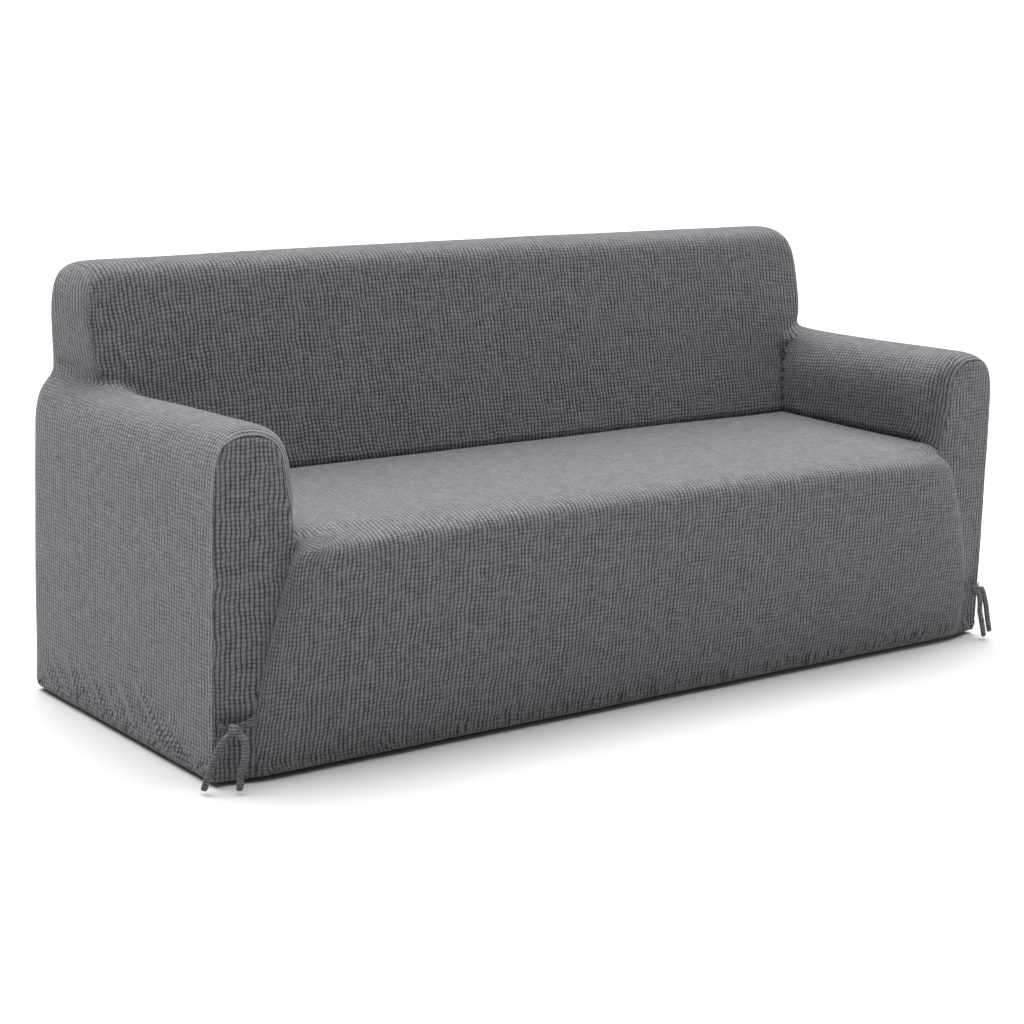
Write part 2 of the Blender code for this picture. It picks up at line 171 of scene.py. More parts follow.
# Creases: 1 keeps an edge sharp, and less leaves it a small round
TUCK_CREASE = 1.0
FRONT_SEAM_CREASE = 0.55
DROP_SEAM_CREASE = 0.35
REAR_CORNER_CREASE = 0.42
BACK_EDGE_CREASE = 0.25

# Ties. Points run (inset from the arm's outer face, ahead of its front plane, height above the hem).
KNOT_AT = {"left": (0.031, 0.018, 0.110), "right": (0.043, 0.022, 0.112)}
BANDS = {
    "outer_band": {"seam": (0.008, 0.001, 0.116), "wide": 0.013, "narrow": 0.010},
    "inner_band": {"seam": (0.079, 0.021, 0.124), "wide": 0.021, "narrow": 0.012},
}
TAILS = {
    ("left", "outer_tail"): (
        (0.0200, 0.0200, 0.1000),
        (0.0020, 0.0220, 0.0870),
        (-0.0110, 0.0215, 0.0620),
        (-0.0210, 0.0175, 0.0310),
        (-0.0310, 0.0120, -0.0020),
    ),
    ("left", "inner_tail"): (
        (0.0370, 0.0310, 0.1010),
        (0.0400, 0.0430, 0.0890),
        (0.0360, 0.0490, 0.0620),
        (0.0290, 0.0490, 0.0310),
        (0.0250, 0.0490, -0.0020),
    ),
    ("right", "outer_tail"): (
        (0.0290, 0.0300, 0.1120),
        (0.0270, 0.0340, 0.1030),
        (0.0210, 0.0385, 0.0780),
        (0.0165, 0.0430, 0.0440),
        (0.0100, 0.0470, 0.0080),
    ),
    ("right", "inner_tail"): (
        (0.0425, 0.0355, 0.1020),
        (0.0435, 0.0400, 0.0880),
        (0.0420, 0.0410, 0.0620),
        (0.0340, 0.0410, 0.0370),
        (0.0215, 0.0410, -0.0030),
    ),
}

TAIL_DIAMETER = 0.0145
TAIL_POINTS = 24
TAIL_SIDES = 20
TAIL_FLATNESS = 0.70
TAIL_TUCKED_IN = 0.55  # how far each tail runs on into the knot
BAND_CLOTH = 0.0022
KNOT_RADII = (0.0112, 0.0110, 0.0132)
KNOT_SETTLE = Vector((0.0, -0.003, -0.002))  # the knot sits a little low on its bands

# Fineness of the cloth's mesh: the longest edge wanted near the hem, in the wrinkled skirts, and elsewhere
HEM_STEP, HEM_EDGE = 0.0032, 0.0065
SKIRT_EDGE, SIDE_SKIRT_EDGE, CREASE_EDGE, PLAIN_EDGE = 0.0100, 0.0055, 0.0050, 0.0160
HEM_FINE_TOP, SKIRT_FINE_TOP = 0.056, 0.205
CREASE_ZONE = 0.018  # and this near to the creases of the seat
BACK_END_ZONE = (0.880, 0.600)  # beyond this from the middle, and above this height

# The hem's elastic channel and the gathers that it draws up
CHANNEL = 0.027  # height of the channel's stitching above the hem
STITCH_GROOVE, STITCH_WIDTH = 0.0012, 0.0030
CHANNEL_PUFF = 0.0014
HEM_TURN = 0.0040  # how far the elastic draws the hem's edge in
FRONT_GATHER, SIDE_GATHER = 0.0024, 0.0022  # height of the gathers
FRONT_GATHER_RISE, SIDE_GATHER_RISE = 0.010, 0.009  # how fast they fade above the channel
GATHER_PITCH = 0.0145
GATHER_LEAN = 0.55  # how far a gather of the side runs to the rear for each metre that it rises
HEM_HOLD = 0.25  # share of a gather or fold left at the hem's edge
HEM_HELD, FOLD_HELD = 0.012, 0.040  # how high that holding reaches
SOFT_UNEVENNESS, UNEVEN_SIZE = 0.0016, 0.21

# Soft ridges (+) and troughs (-) of the cloth: (start, end, half width, height) with points in the frame
LEFT_SIDE_FOLDS = (
    ((-1.046, -0.345, 0.026), (-1.046, -0.235, 0.075), 0.0080, 0.0055),
    ((-1.046, -0.322, 0.028), (-1.046, -0.205, 0.082), 0.0070, -0.0042),
    ((-1.046, -0.300, 0.030), (-1.046, -0.170, 0.096), 0.0090, 0.0070),
    ((-1.046, -0.262, 0.028), (-1.046, -0.140, 0.094), 0.0080, -0.0052),
    ((-1.046, -0.222, 0.028), (-1.046, -0.080, 0.132), 0.0090, 0.0082),
    ((-1.046, -0.196, 0.030), (-1.046, -0.060, 0.134), 0.0065, -0.0050),
    ((-1.046, -0.172, 0.028), (-1.046, -0.036, 0.146), 0.0090, 0.0086),
    ((-1.046, -0.130, 0.030), (-1.046, -0.010, 0.138), 0.0085, -0.0058),
    ((-1.046, -0.062, 0.028), (-1.046, 0.035, 0.144), 0.0085, 0.0062),
    ((-1.046, -0.022, 0.028), (-1.046, 0.062, 0.128), 0.0080, -0.0046),
    ((-1.046, 0.016, 0.028), (-1.046, 0.098, 0.124), 0.0080, 0.0050),
    ((-1.046, 0.070, 0.028), (-1.046, 0.190, 0.140), 0.0090, 0.0080),
    ((-1.046, 0.098, 0.026), (-1.046, 0.214, 0.104), 0.0075, 0.0066),
    ((-1.046, 0.144, 0.028), (-1.046, 0.240, 0.116), 0.0080, -0.0056),
    ((-1.046, 0.196, 0.026), (-1.046, 0.258, 0.124), 0.0080, 0.0064),
    ((-1.046, 0.226, 0.027), (-1.046, 0.334, 0.098), 0.0080, 0.0060),
    ((-1.046, 0.272, 0.028), (-1.046, 0.352, 0.094), 0.0075, -0.0045),
    ((-1.046, 0.318, 0.028), (-1.046, 0.380, 0.094), 0.0075, 0.0050),
)
RIGHT_SIDE_FOLDS = (
    ((1.046, 0.330, 0.028), (1.046, 0.375, 0.110), 0.0080, 0.0055),
    ((1.046, 0.262, 0.028), (1.046, 0.330, 0.105), 0.0080, -0.0045),
    ((1.046, 0.190, 0.028), (1.046, 0.275, 0.130), 0.0090, 0.0066),
    ((1.046, 0.085, 0.028), (1.046, 0.150, 0.105), 0.0080, 0.0050),
    ((1.046, 0.000, 0.028), (1.046, 0.085, 0.120), 0.0085, -0.0050),
    ((1.046, -0.085, 0.028), (1.046, 0.010, 0.120), 0.0085, 0.0060),
    ((1.046, -0.185, 0.028), (1.046, -0.110, 0.105), 0.0080, 0.0050),
    ((1.046, -0.275, 0.028), (1.046, -0.210, 0.090), 0.0080, -0.0042),
)
TUCKS = (
    # left end: where the arm's top runs under the back
    ((-0.990, 0.246, 0.696), (-0.918, 0.222, 0.680), 0.0060, -0.0048),
    ((-0.996, 0.372, 0.712), (-0.966, 0.244, 0.692), 0.0060, -0.0036),
    ((-0.938, 0.243, 0.760), (-0.890, 0.219, 0.665), 0.0080, 0.0042),
    ((-0.895, 0.196, 0.640), (-0.872, 0.185, 0.560), 0.0070, 0.0030),
    # right end
    ((0.940, 0.218, 0.682), (0.902, 0.198, 0.628), 0.0080, 0.0042),
    ((0.898, 0.190, 0.612), (0.875, 0.166, 0.476), 0.0065, -0.0046),
    # the arm fronts fall back below the ties
    ((-1.006, -0.352, 0.072), (-1.004, -0.356, 0.016), 0.019, -0.0080),
    ((1.000, -0.352, 0.072), (1.004, -0.356, 0.016), 0.019, -0.0080),
    # pulls that run up from the ties
    ((-0.966, -0.375, 0.130), (-0.940, -0.384, 0.300), 0.016, 0.0030),
    ((0.966, -0.375, 0.130), (0.945, -0.384, 0.290), 0.016, 0.0030),
)
FOLDS = LEFT_SIDE_FOLDS + RIGHT_SIDE_FOLDS + TUCKS
# Creases of one depth along their whole length
CREASES = (
    ((-0.866, 0.170, 0.474), (0.866, 0.170, 0.474), 0.0065, -0.0060),
    ((0.872, -0.290, 0.476), (0.872, 0.170, 0.476), 0.0065, -0.0060),
    ((-0.872, -0.290, 0.476), (-0.872, 0.170, 0.476), 0.0065, -0.0060),
    ((0.872, 0.170, 0.476), (0.893, 0.203, 0.610), 0.0075, -0.0070),
    ((-0.872, 0.170, 0.476), (-0.893, 0.203, 0.610), 0.0075, -0.0070),
    # the left arm's inner face stands out a little behind its front
    ((-0.868, -0.330, 0.540), (-0.868, -0.250, 0.600), 0.045, 0.0065),
)

# The knit, in metres along the cloth
SQUARE_WIDTH, SQUARE_HEIGHT = 0.0099, 0.0084
STITCHES_PER_SQUARE = 5
KNIT_RELIEF = 0.0016
# Ends of the knit's colour ramp: the dark end is dark yarn plus painted shade in the grooves between the raised
# squares, and the light end is light yarn plus painted light on the squares' tops.
YARN_DARK_AND_GROOVE_SHADE, YARN_LIGHT_AND_SQUARE_TOP_LIGHT = (0.020, 0.019, 0.022, 1.0), (0.198, 0.190, 0.208, 1.0)
TIE_DARK, TIE_LIGHT = (0.040, 0.038, 0.042, 1.0), (0.190, 0.182, 0.198, 1.0)
TIE_RUNG = 0.0058  # from one rung of the ties' knit to the next
FABRIC_ROUGHNESS = 0.92
FLOOR_COLOUR = (0.60, 0.60, 0.60, 1.0)

# Light: (tilt and turn of its direction, angle of its disc, strength)
SUNS = {
    "top": ((0.08, 0.26), 1.3, 7.5),
    "left_rear": ((-1.0, 0.85), 0.6, 0.50),
}
SUN_HEIGHTS = {"top": 1.0, "left_rear": 0.24}
SKY_STRENGTH = 0.13
FILL_PLACE, FILL_AIM = Vector((3.0, -2.6, 1.3)), Vector((0.7, -0.3, 0.4))
FILL_SIZE, FILL_POWER = 1.8, 17.0


def back_y(z):
    """Depth of the inside back's plane at a height."""
    return BACK_FOOT_Y + BACK_LEAN * (z - SEAT_Z)


def at_side(inset, y, z):
    """A point measured in from the right arm's outer face."""
    return Vector((HALF_WIDTH - inset, y, z))


# ---- section points of the cage ----


def arm_point(column, row):
    """Point of the arm at a row: 0 is the front seam, and the last row lies on the inside back's plane."""
    if row == 0:
        inset, z = FRONT_SEAM[column]
        return at_side(inset, FRONT_Y + OUTER_SEAM_SET_BACK * (column > CROWN), z)
    inset, z = ARM_SECTION[column]
    if row < len(ARM_ROWS_Y):
        y = ARM_ROWS_Y[row]
    else:
        y = back_y(z) if column <= CROWN else OUTER_JUNCTION_Y
    if 0 < column <= SHOULDER:
        high = min(1.0, (z - SEAT_Z) / (ARM_SECTION[2][1] - SEAT_Z))
        z -= ARM_FALL * (y - FRONT_Y) * high
        if column < CROWN:
            inset -= ARM_FLARE * high * max(0.0, y / BACK_FOOT_Y)
    return at_side(inset, y, z)


def climb_point(column, step):
    """Point of the side behind the arm: step 0 at the junction, 1 at mid depth, 2 at the rear."""
    if step == 0:
        return arm_point(column, len(ARM_ROWS_Y))
    inset, z = CLIMB_SECTIONS.get(column, (ARM_SECTION[column],) * 2)[step - 1]
    y = (OUTER_JUNCTION_Y + REAR_Y) / 2 if step == 1 else REAR_Y
    return at_side(inset, y, z)


def back_end_point(level, step):
    """Point of the back's end face: level 0 is the climb from the crown, and step runs to the rear."""
    if level == 0:
        return climb_point(CROWN, step)
    further, z = BACK_END_SECTION[level - 1]
    inset = BACK_INSETS[step] + further
    front = back_y(z)
    at_top = level == len(BACK_END_SECTION)
    z_there = z + 0.010 if at_top and step == 1 else z
    return at_side(inset, front + (REAR_Y - front) * step / 2, z_there)


def spread(middle_z, edge, depth, gap=SHOULDER_GAP):
    """A row of points from the middle of the cover to its side edge, where depth(z) gives their depth."""
    row = []
    for share in COLUMN_SHARES:
        pull = share**EDGE_PULL
        z = middle_z + (edge.z - middle_z) * pull
        row.append(Vector((SEAT_HALF * share + (edge.x - SEAT_HALF) * pull, depth(z), z)))
    z = middle_z + (edge.z - middle_z) * SHOULDER_PULL
    row.append(Vector((edge.x - gap, depth(z), z)))
    row.append(edge.copy())
    return row


def front_rows():
    """Rows of the front drop and the seat, from the hem to the crease."""
    rows = []
    for z, ahead, inset, seam_ahead, bulge in FRONT_DROP:
        edge = at_side(inset, FRONT_Y - seam_ahead, min(z, SIDE_SEAM_TOP_Z))
        rows.append(spread(z, edge, lambda z, y=FRONT_Y - ahead: y, -bulge))
    for row, y in enumerate(ARM_ROWS_Y):
        rows.append(spread(SEAT_Z + SEAT_CROWN, arm_point(0, row), lambda z, y=y: y))
    rows.append(spread(SEAT_Z, arm_point(0, len(ARM_ROWS_Y)), lambda z: BACK_FOOT_Y))
    return rows


def inside_back_edge():
    """Side edge of the inside back: up the arm's crease, over its crown and up the back's end."""
    junction = len(ARM_ROWS_Y)
    creased = [arm_point(column, junction) for column in range(CROWN + 1)]
    return creased + [back_end_point(level, 0) for level in range(1, len(BACK_END_SECTION) + 1)]


def inside_back_rows():
    """Rows of the inside back and the back's top, from the crease to the top's rear edge."""
    rows = [spread(z, edge, back_y) for z, edge in zip(INSIDE_HEIGHTS, inside_back_edge(), strict=True)]
    top = len(BACK_END_SECTION)
    crown_y = (back_y(BACK_TOP_Z) + REAR_Y) / 2
    rows.append(spread(BACK_TOP_Z, back_end_point(top, 1), lambda z: crown_y))
    rows.append(spread(OUTSIDE_HEIGHTS[0], back_end_point(top, 2), lambda z: REAR_Y))
    return rows


def outside_back_rows():
    """Rows of the outside back, from the top's rear edge down to the hem."""
    top = len(BACK_END_SECTION)
    edges = [back_end_point(level, 2) for level in range(top, 0, -1)]
    edges += [climb_point(column, 2) for column in range(CROWN, len(ARM_SECTION))]
    return [spread(z, edge, lambda z: REAR_Y) for z, edge in zip(OUTSIDE_HEIGHTS, edges, strict=True)]


def arm_front_rows():
    """Rows of the arm's front panel, from the hem up to the arch over its top."""
    inner = [row[-1] for row in front_rows()[: len(FRONT_DROP)]]
    inner += [arm_point(column, 0) for column in range(3)]
    outer = [arm_point(column, 0) for column in range(len(ARM_SECTION) - 1, SHOULDER - 1, -1)]
    rows = []
    for a, b, (behind, above) in zip(inner, outer, ARM_FRONT_SHIFTS, strict=False):
        row = [a.lerp(b, step / 4) for step in range(5)]
        for point in row[1:-1]:
            point.y += behind
            point.z += above
        rows.append(row)
    rows.append([arm_point(column, 0) for column in range(2, SHOULDER + 1)])
    return rows


# ---- the cage of the whole cover ----


def full_width(rows):
    """Rows that run from the left edge to the right one, from rows that start at the middle."""
    return [[Vector((-point.x, point.y, point.z)) for point in reversed(row[1:])] + row for row in rows]


def cloth_places(rows, first_u=None, first_v=None):
    """How far along the cloth each point lies, in metres: across its row, and up its column."""
    first_u = first_u or [0.0] * len(rows)
    first_v = first_v or [0.0] * len(rows[0])
    places = []
    for r, row in enumerate(rows):
        u = first_u[r]
        line = []
        for c, point in enumerate(row):
            u += (point - row[c - 1]).length if c else 0.0
            v = places[r - 1][c][1] + (point - rows[r - 1][c]).length if r else first_v[c]
            line.append((u, v))
        places.append(line)
    return places


def centred_places(rows):
    """The same, measured from the middle of each row."""
    places = cloth_places(rows)
    return [[(u - line[-1][0] / 2, v) for u, v in line] for line in places]


def lay_patch(bm, rows, places, panel):
    """A grid of faces through rows of points, facing u x v, with its cloth places as UV."""
    uv = bm.loops.layers.uv.active
    across, along = len(rows[0]) - 1, len(rows) - 1
    made = bmesh.ops.create_grid(bm, x_segments=across, y_segments=along, size=0.5)["verts"]
    spots = {v: (round((v.co.y + 0.5) * along), round((v.co.x + 0.5) * across)) for v in made}
    for vert, (row, column) in spots.items():
        vert.co = rows[row][column]
    for face in {face for vert in made for face in vert.link_faces}:
        face.material_index = PANELS.index(panel)
        for loop in face.loops:
            row, column = spots[loop.vert]
            loop[uv].uv = places[row][column]


def lay_pair(bm, rows, places, panel):
    """A patch at the right end of the cover, and its mirror image at the left."""
    lay_patch(bm, rows, places, panel)
    mirrored = [[Vector((-point.x, point.y, point.z)) for point in reversed(row)] for row in rows]
    lay_patch(bm, mirrored, [list(reversed(line)) for line in places], panel)


def lay_sides(bm):
    """Each side: over the arm, behind its crown, and up the end of the back, as one run of cloth."""
    hem = len(ARM_SECTION) - 1
    junction = len(ARM_ROWS_Y)
    arm = [[arm_point(column, row) for row in range(junction + 1)] for column in range(hem, -1, -1)]
    arm_places = cloth_places(arm)
    lay_pair(bm, arm, arm_places, "side")
    behind = [[climb_point(column, step) for step in range(3)] for column in range(hem, CROWN - 1, -1)]
    behind_places = cloth_places(behind, first_u=[line[-1][0] for line in arm_places])
    lay_pair(bm, behind, behind_places, "side")
    end = [[back_end_point(level, step) for step in range(3)] for level in range(len(BACK_END_SECTION) + 1)]
    top = behind_places[-1]
    end_places = cloth_places(end, first_u=[top[0][0]] * len(end), first_v=[v for _, v in top])
    lay_pair(bm, end, end_places, "side")


def crease_path(bm, points, weight):
    """Weights the edges that run along a path of cage points, and along its mirror image."""
    layer = bm.edges.layers.float["crease_edge"]
    steps = set()
    for side in (1, -1):
        path = [(round(side * x, 5), round(y, 5), round(z, 5)) for x, y, z in points]
        steps |= {frozenset(pair) for pair in zip(path, path[1:])}
    for edge in bm.edges:
        if frozenset(tuple(round(c, 5) for c in vert.co) for vert in edge.verts) in steps:
            edge[layer] = weight


def crease_cage(bm):
    """Holds the tucks sharp, and the seams and corners to a small round."""
    edge = inside_back_edge()
    crease_path(bm, inside_back_rows()[0], TUCK_CREASE)
    crease_path(bm, [arm_point(0, row) for row in range(len(ARM_ROWS_Y) + 1)], TUCK_CREASE)
    crease_path(bm, edge[:3], TUCK_CREASE)
    crease_path(bm, edge[2:4], TUCK_CREASE / 2)
    crease_path(bm, edge[CROWN:], BACK_EDGE_CREASE)
    crease_path(bm, [arm_point(column, 0) for column in range(len(ARM_SECTION))], FRONT_SEAM_CREASE)
    drop = [row[-1] for row in front_rows()[: len(FRONT_DROP)]]
    crease_path(bm, drop + [arm_point(0, 0)], DROP_SEAM_CREASE)
    crease_path(bm, [row[-1] for row in outside_back_rows()], REAR_CORNER_CREASE)
    crease_path(bm, outside_back_rows()[0], BACK_EDGE_CREASE)


def build_cage():
    """The whole cover's cage, open at the hem."""
    bm = bmesh.new()
    bm.loops.layers.uv.new("cloth")
    bm.edges.layers.float.new("crease_edge")
    for rows, panel in (
        (front_rows(), "seat_and_front"),
        (inside_back_rows(), "inside_back"),
        (outside_back_rows(), "outside_back"),
    ):
        whole = full_width(rows)
        lay_patch(bm, whole, centred_places(whole), panel)
    lay_sides(bm)
    front = arm_front_rows()
    lay_pair(bm, front, [[(point.x, point.z) for point in row] for row in front], "arm_front")
    bmesh.ops.remove_doubles(bm, verts=bm.verts[:], dist=0.0001)
    crease_cage(bm)
    bmesh.ops.translate(bm, vec=(0, 0, FLOOR_GAP), verts=bm.verts[:])
    return bm


def smooth_cover():
    """The whole cover as one smooth open surface, whose material indexes name the panels."""
    mesh = bpy.data.meshes.new("cover_cage")
    cage = build_cage()
    cage.to_mesh(mesh)
    cage.free()
    for panel in PANELS:
        mesh.materials.append(bpy.data.materials.new("guide_" + panel))
    guide = bpy.data.objects.new("cover_cage", mesh)
    bpy.context.scene.collection.objects.link(guide)
    smooth = guide.modifiers.new("Subdivision", "SUBSURF")
    smooth.levels = smooth.render_levels = COVER_LEVELS
    evaluated = guide.evaluated_get(bpy.context.evaluated_depsgraph_get())
    smoothed = bpy.data.meshes.new_from_object(evaluated)
    bpy.data.objects.remove(guide)
    return smoothed


# ---- folds, gathers and seams ----


def near_crease(point):
    """Whether a point lies in the angle between the seat and an arm or the back, or on the back's end."""
    beside_arm = abs(abs(point.x) - SEAT_HALF) < CREASE_ZONE
    at_back = abs(point.y - back_y(point.z - FLOOR_GAP)) < CREASE_ZONE
    low = point.z < SEAT_Z + FLOOR_GAP + CREASE_ZONE
    at_back_end = abs(point.x) > BACK_END_ZONE[0] and point.z > BACK_END_ZONE[1] and point.y > BACK_FOOT_Y
    return low and (beside_arm or at_back) or beside_arm and at_back or at_back_end


def wanted_edge(edge):
    """The longest that an edge may be, at its height above the floor."""
    height = (edge.verts[0].co.z + edge.verts[1].co.z) / 2
    rise = abs(edge.verts[0].co.z - edge.verts[1].co.z)
    if height < HEM_FINE_TOP:
        return HEM_STEP if rise < edge.calc_length() / 2 else HEM_EDGE
    if near_crease(edge.verts[0].co):
        return CREASE_EDGE
    if height < SKIRT_FINE_TOP:
        return SKIRT_EDGE if abs(edge.verts[0].co.x) < SEAT_HALF else SIDE_SKIRT_EDGE
    return PLAIN_EDGE


def refine(bm):
    """Halves the long edges until the mesh can carry the folds."""
    for _ in range(5):
        long = [edge for edge in bm.edges if edge.calc_length() > wanted_edge(edge)]
        bmesh.ops.subdivide_edges(bm, edges=long, cuts=1, use_grid_fill=True)
    many_sided = [face for face in bm.faces if len(face.verts) > 4]
    bmesh.ops.triangulate(bm, faces=many_sided)


def ridge(points, start, end, half_width, height, fade):
    """A ridge or trough along a straight line, which grows in at its start and fades out by a power."""
    start, run = np.array(start), np.array(end) - np.array(start)
    share = np.clip((points - start) @ run / (run @ run), 0.0, 1.0)
    away = np.linalg.norm(points - start - share[:, None] * run, axis=1)
    growth = np.minimum(1.0, 0.45 + 2.5 * share) if fade else 1.0
    return height * growth * (1 - share) ** fade * np.exp(-((away / half_width) ** 2))


def fold_relief(points):
    """All the ridges, troughs and creases together."""
    relief = sum(ridge(points, *fold, fade=0.8) for fold in FOLDS)
    return relief + sum(ridge(points, *crease, fade=0.0) for crease in CREASES)


def gather(place, height, seed):
    """Uneven gathers along the hem, from -1 to 1."""
    wander = 1.3 * noise.noise(Vector((place / 0.06, seed, height / 0.25)))
    vigour = 0.62 + 0.9 * noise.noise(Vector((place / 0.05, seed + 4.0, height / 0.20)))
    return math.sin(2 * math.pi * (place / GATHER_PITCH + wander)) * max(0.1, min(1.0, vigour))


def freedom(height, held):
    """How free the cloth is to fold: least at the hem's edge, whose elastic holds it straight."""
    return HEM_HOLD + (1 - HEM_HOLD) * min(1.0, max(0.0, height) / held)


def hem_relief(point, normal):
    """The channel at the hem, its stitching, and the gathers that the elastic draws up."""
    height = point.z - FLOOR_GAP
    above = max(0.0, height - CHANNEL)
    free = freedom(height, HEM_HELD)
    front = FRONT_GATHER * free * math.exp(-above / FRONT_GATHER_RISE)
    side = SIDE_GATHER * free * math.exp(-above / SIDE_GATHER_RISE)
    relief = front * normal.y**2 * gather(point.x, height, 1.0 + (normal.y > 0))
    relief += side * normal.x**2 * gather(point.y - GATHER_LEAN * height, height, 7.0 + (normal.x > 0))
    in_channel = max(0.0, 1 - height / CHANNEL)
    relief += CHANNEL_PUFF * math.sin(math.pi * min(1.0, height / CHANNEL))
    relief -= STITCH_GROOVE * math.exp(-(((height - CHANNEL) / STITCH_WIDTH) ** 2))
    return relief - HEM_TURN * in_channel**3


def soft_relief(point):
    """Slight unevenness of cloth stretched over padding."""
    return SOFT_UNEVENNESS * noise.noise(point / UNEVEN_SIZE)


def give_relief(bm):
    """Moves the cloth's points in or out."""
    bm.normal_update()
    points = np.array([vert.co for vert in bm.verts])
    folds = fold_relief(points)
    steps = []
    for vert, fold in zip(bm.verts, folds, strict=True):
        relief = fold * freedom(vert.co.z - FLOOR_GAP, FOLD_HELD) + soft_relief(vert.co)
        if vert.co.z < SKIRT_FINE_TOP:
            relief += hem_relief(vert.co, vert.normal)
        steps.append(vert.normal * relief)
    for vert, step in zip(bm.verts, steps, strict=True):
        step.z *= 0.5 if vert.co.z < HEM_FINE_TOP else 1.0
        vert.co += step


def detailed_cover():
    """The whole cover with its relief, as a mesh."""
    mesh = smooth_cover()
    bm = bmesh.new()
    bm.from_mesh(mesh)
    refine(bm)
    give_relief(bm)
    bm.to_mesh(mesh)
    bm.free()
    return mesh


# ---- panels ----


def seam_step(vert):
    """How a seam's vertex moves, within the cloth, to leave half of the seam's gap."""
    pull = Vector()
    for edge in vert.link_edges:
        if edge.is_boundary:
            face = edge.link_faces[0]
            along = (edge.verts[1].co - edge.verts[0].co).normalized()
            across = face.normal.cross(along).normalized()
            if across.dot(face.calc_center_median() - vert.co) < 0:
                across.negate()
            pull += across
    if pull.length < 1e-6:
        return Vector()
    return pull.normalized() * SEAM_EASE


def add_mesh_piece(name, bm, material):
    """A finished mesh as an object that rides on the frame's one body."""
    mesh = bpy.data.meshes.new(name)
    bm.to_mesh(mesh)
    bm.free()
    mesh.materials.append(material)
    mesh.shade_smooth()
    piece = bpy.data.objects.new(name, mesh)
    bpy.context.scene.collection.objects.link(piece)
    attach(piece, "root")
    return piece


def thicken(piece, cloth):
    """Gives a sheet its thickness, inwards."""
    solid = piece.modifiers.new("Cloth", "SOLIDIFY")
    solid.thickness = cloth
    solid.offset = -1.0
    solid.use_even_offset = False


def add_panel(name, cover, keep, material):
    """One panel of the cover, cut out along its seams."""
    bm = bmesh.new()
    bm.from_mesh(cover)
    bmesh.ops.delete(bm, geom=[face for face in bm.faces if not keep(face)], context="FACES")
    bm.normal_update()
    steps = {vert: seam_step(vert) for vert in bm.verts if vert.is_boundary}
    for vert, step in steps.items():
        vert.co += step
    for face in bm.faces:
        face.material_index = 0
    piece = add_mesh_piece("cloth_" + name, bm, material)
    thicken(piece, CLOTH)
    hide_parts(name)
    return piece


def build_panels(cover, material):
    """Three panels across the cover, and a side and an arm front at each end."""
    for panel in ("seat_and_front", "inside_back", "outside_back"):
        index = PANELS.index(panel)
        add_panel(panel, cover, lambda face, index=index: face.material_index == index, material)
    for panel in ("side", "arm_front"):
        index = PANELS.index(panel)
        for end, sign in (("left", -1), ("right", 1)):
            add_panel(
                f"{panel}_{end}",
                cover,
                lambda face, index=index, sign=sign: (
                    face.material_index == index and face.calc_center_median().x * sign > 0
                ),
                material,
            )


# ---- ties ----


def tie_point(point, sign):
    """A tie's point in the frame, from its inset, its distance ahead of the arm's front and its height."""
    inset, ahead, z = point
    return Vector((sign * (HALF_WIDTH - inset), FRONT_Y - ahead, z + FLOOR_GAP))


def smooth_route(points, count):
    """count points along a Catmull-Rom curve through the route's points."""
    padded = [points[0] * 2 - points[1], *points, points[-1] * 2 - points[-2]]
    route = []
    for step in range(count):
        place = step / (count - 1) * (len(points) - 1)
        i = min(int(place), len(points) - 2)
        t = place - i
        a, b, c, d = padded[i : i + 4]
        route.append(
            0.5
            * (2 * b + (c - a) * t + (2 * a - 5 * b + 4 * c - d) * t**2 + (3 * b - a - 3 * c + d) * t**3)
        )
    return route


def ring_frame(route, step):
    """The turn and place of a tail's ring at a step of its route, with its broad side to the front."""
    ahead = route[min(step + 1, len(route) - 1)] - route[max(step - 1, 0)]
    along = ahead.normalized()
    across = along.cross(Vector((0, -1, 0))).normalized()
    thick = along.cross(across)
    turn = Matrix((across, thick, along)).transposed().to_4x4()
    return Matrix.Translation(route[step]) @ turn


def sweep_tail(route):
    """A soft flattened tube along a route, closed at both ends."""
    bm = bmesh.new()
    ring = bmesh.ops.create_circle(bm, cap_ends=False, segments=TAIL_SIDES, radius=TAIL_DIAMETER / 2)["verts"]
    bmesh.ops.scale(bm, vec=(1.0, TAIL_FLATNESS, 1.0), verts=ring)
    bmesh.ops.transform(bm, matrix=ring_frame(route, 0), verts=ring)
    edges = bm.edges[:]
    first = list(edges)
    for step in range(1, len(route)):
        made = bmesh.ops.extrude_edge_only(bm, edges=edges)["geom"]
        verts = [part for part in made if isinstance(part, bmesh.types.BMVert)]
        edges = [part for part in made if isinstance(part, bmesh.types.BMEdge) and part.is_boundary]
        move = ring_frame(route, step) @ ring_frame(route, step - 1).inverted()
        bmesh.ops.transform(bm, matrix=move, verts=verts)
    bmesh.ops.holes_fill(bm, edges=first + edges, sides=0)
    bmesh.ops.recalc_face_normals(bm, faces=bm.faces[:])
    return bm


def crumple(bm, size, depth):
    """Small soft dents of handled cloth."""
    bm.normal_update()
    for vert in bm.verts:
        vert.co += vert.normal * depth * noise.noise(vert.co / size)


def add_tie_piece(name, bm, material, levels=1):
    """A piece of a tie, which replaces its plain solid."""
    piece = add_mesh_piece("soft_" + name, bm, material)
    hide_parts(name)
    smooth = piece.modifiers.new("Subdivision", "SUBSURF")
    smooth.levels = smooth.render_levels = levels
    return piece


def add_tail(name, points, material):
    """A free end of a tie: limp, and cut off bare."""
    route = smooth_route(points, TAIL_POINTS)
    bm = sweep_tail(route)
    crumple(bm, 0.009, 0.0008)
    piece = add_tie_piece(name, bm, material)


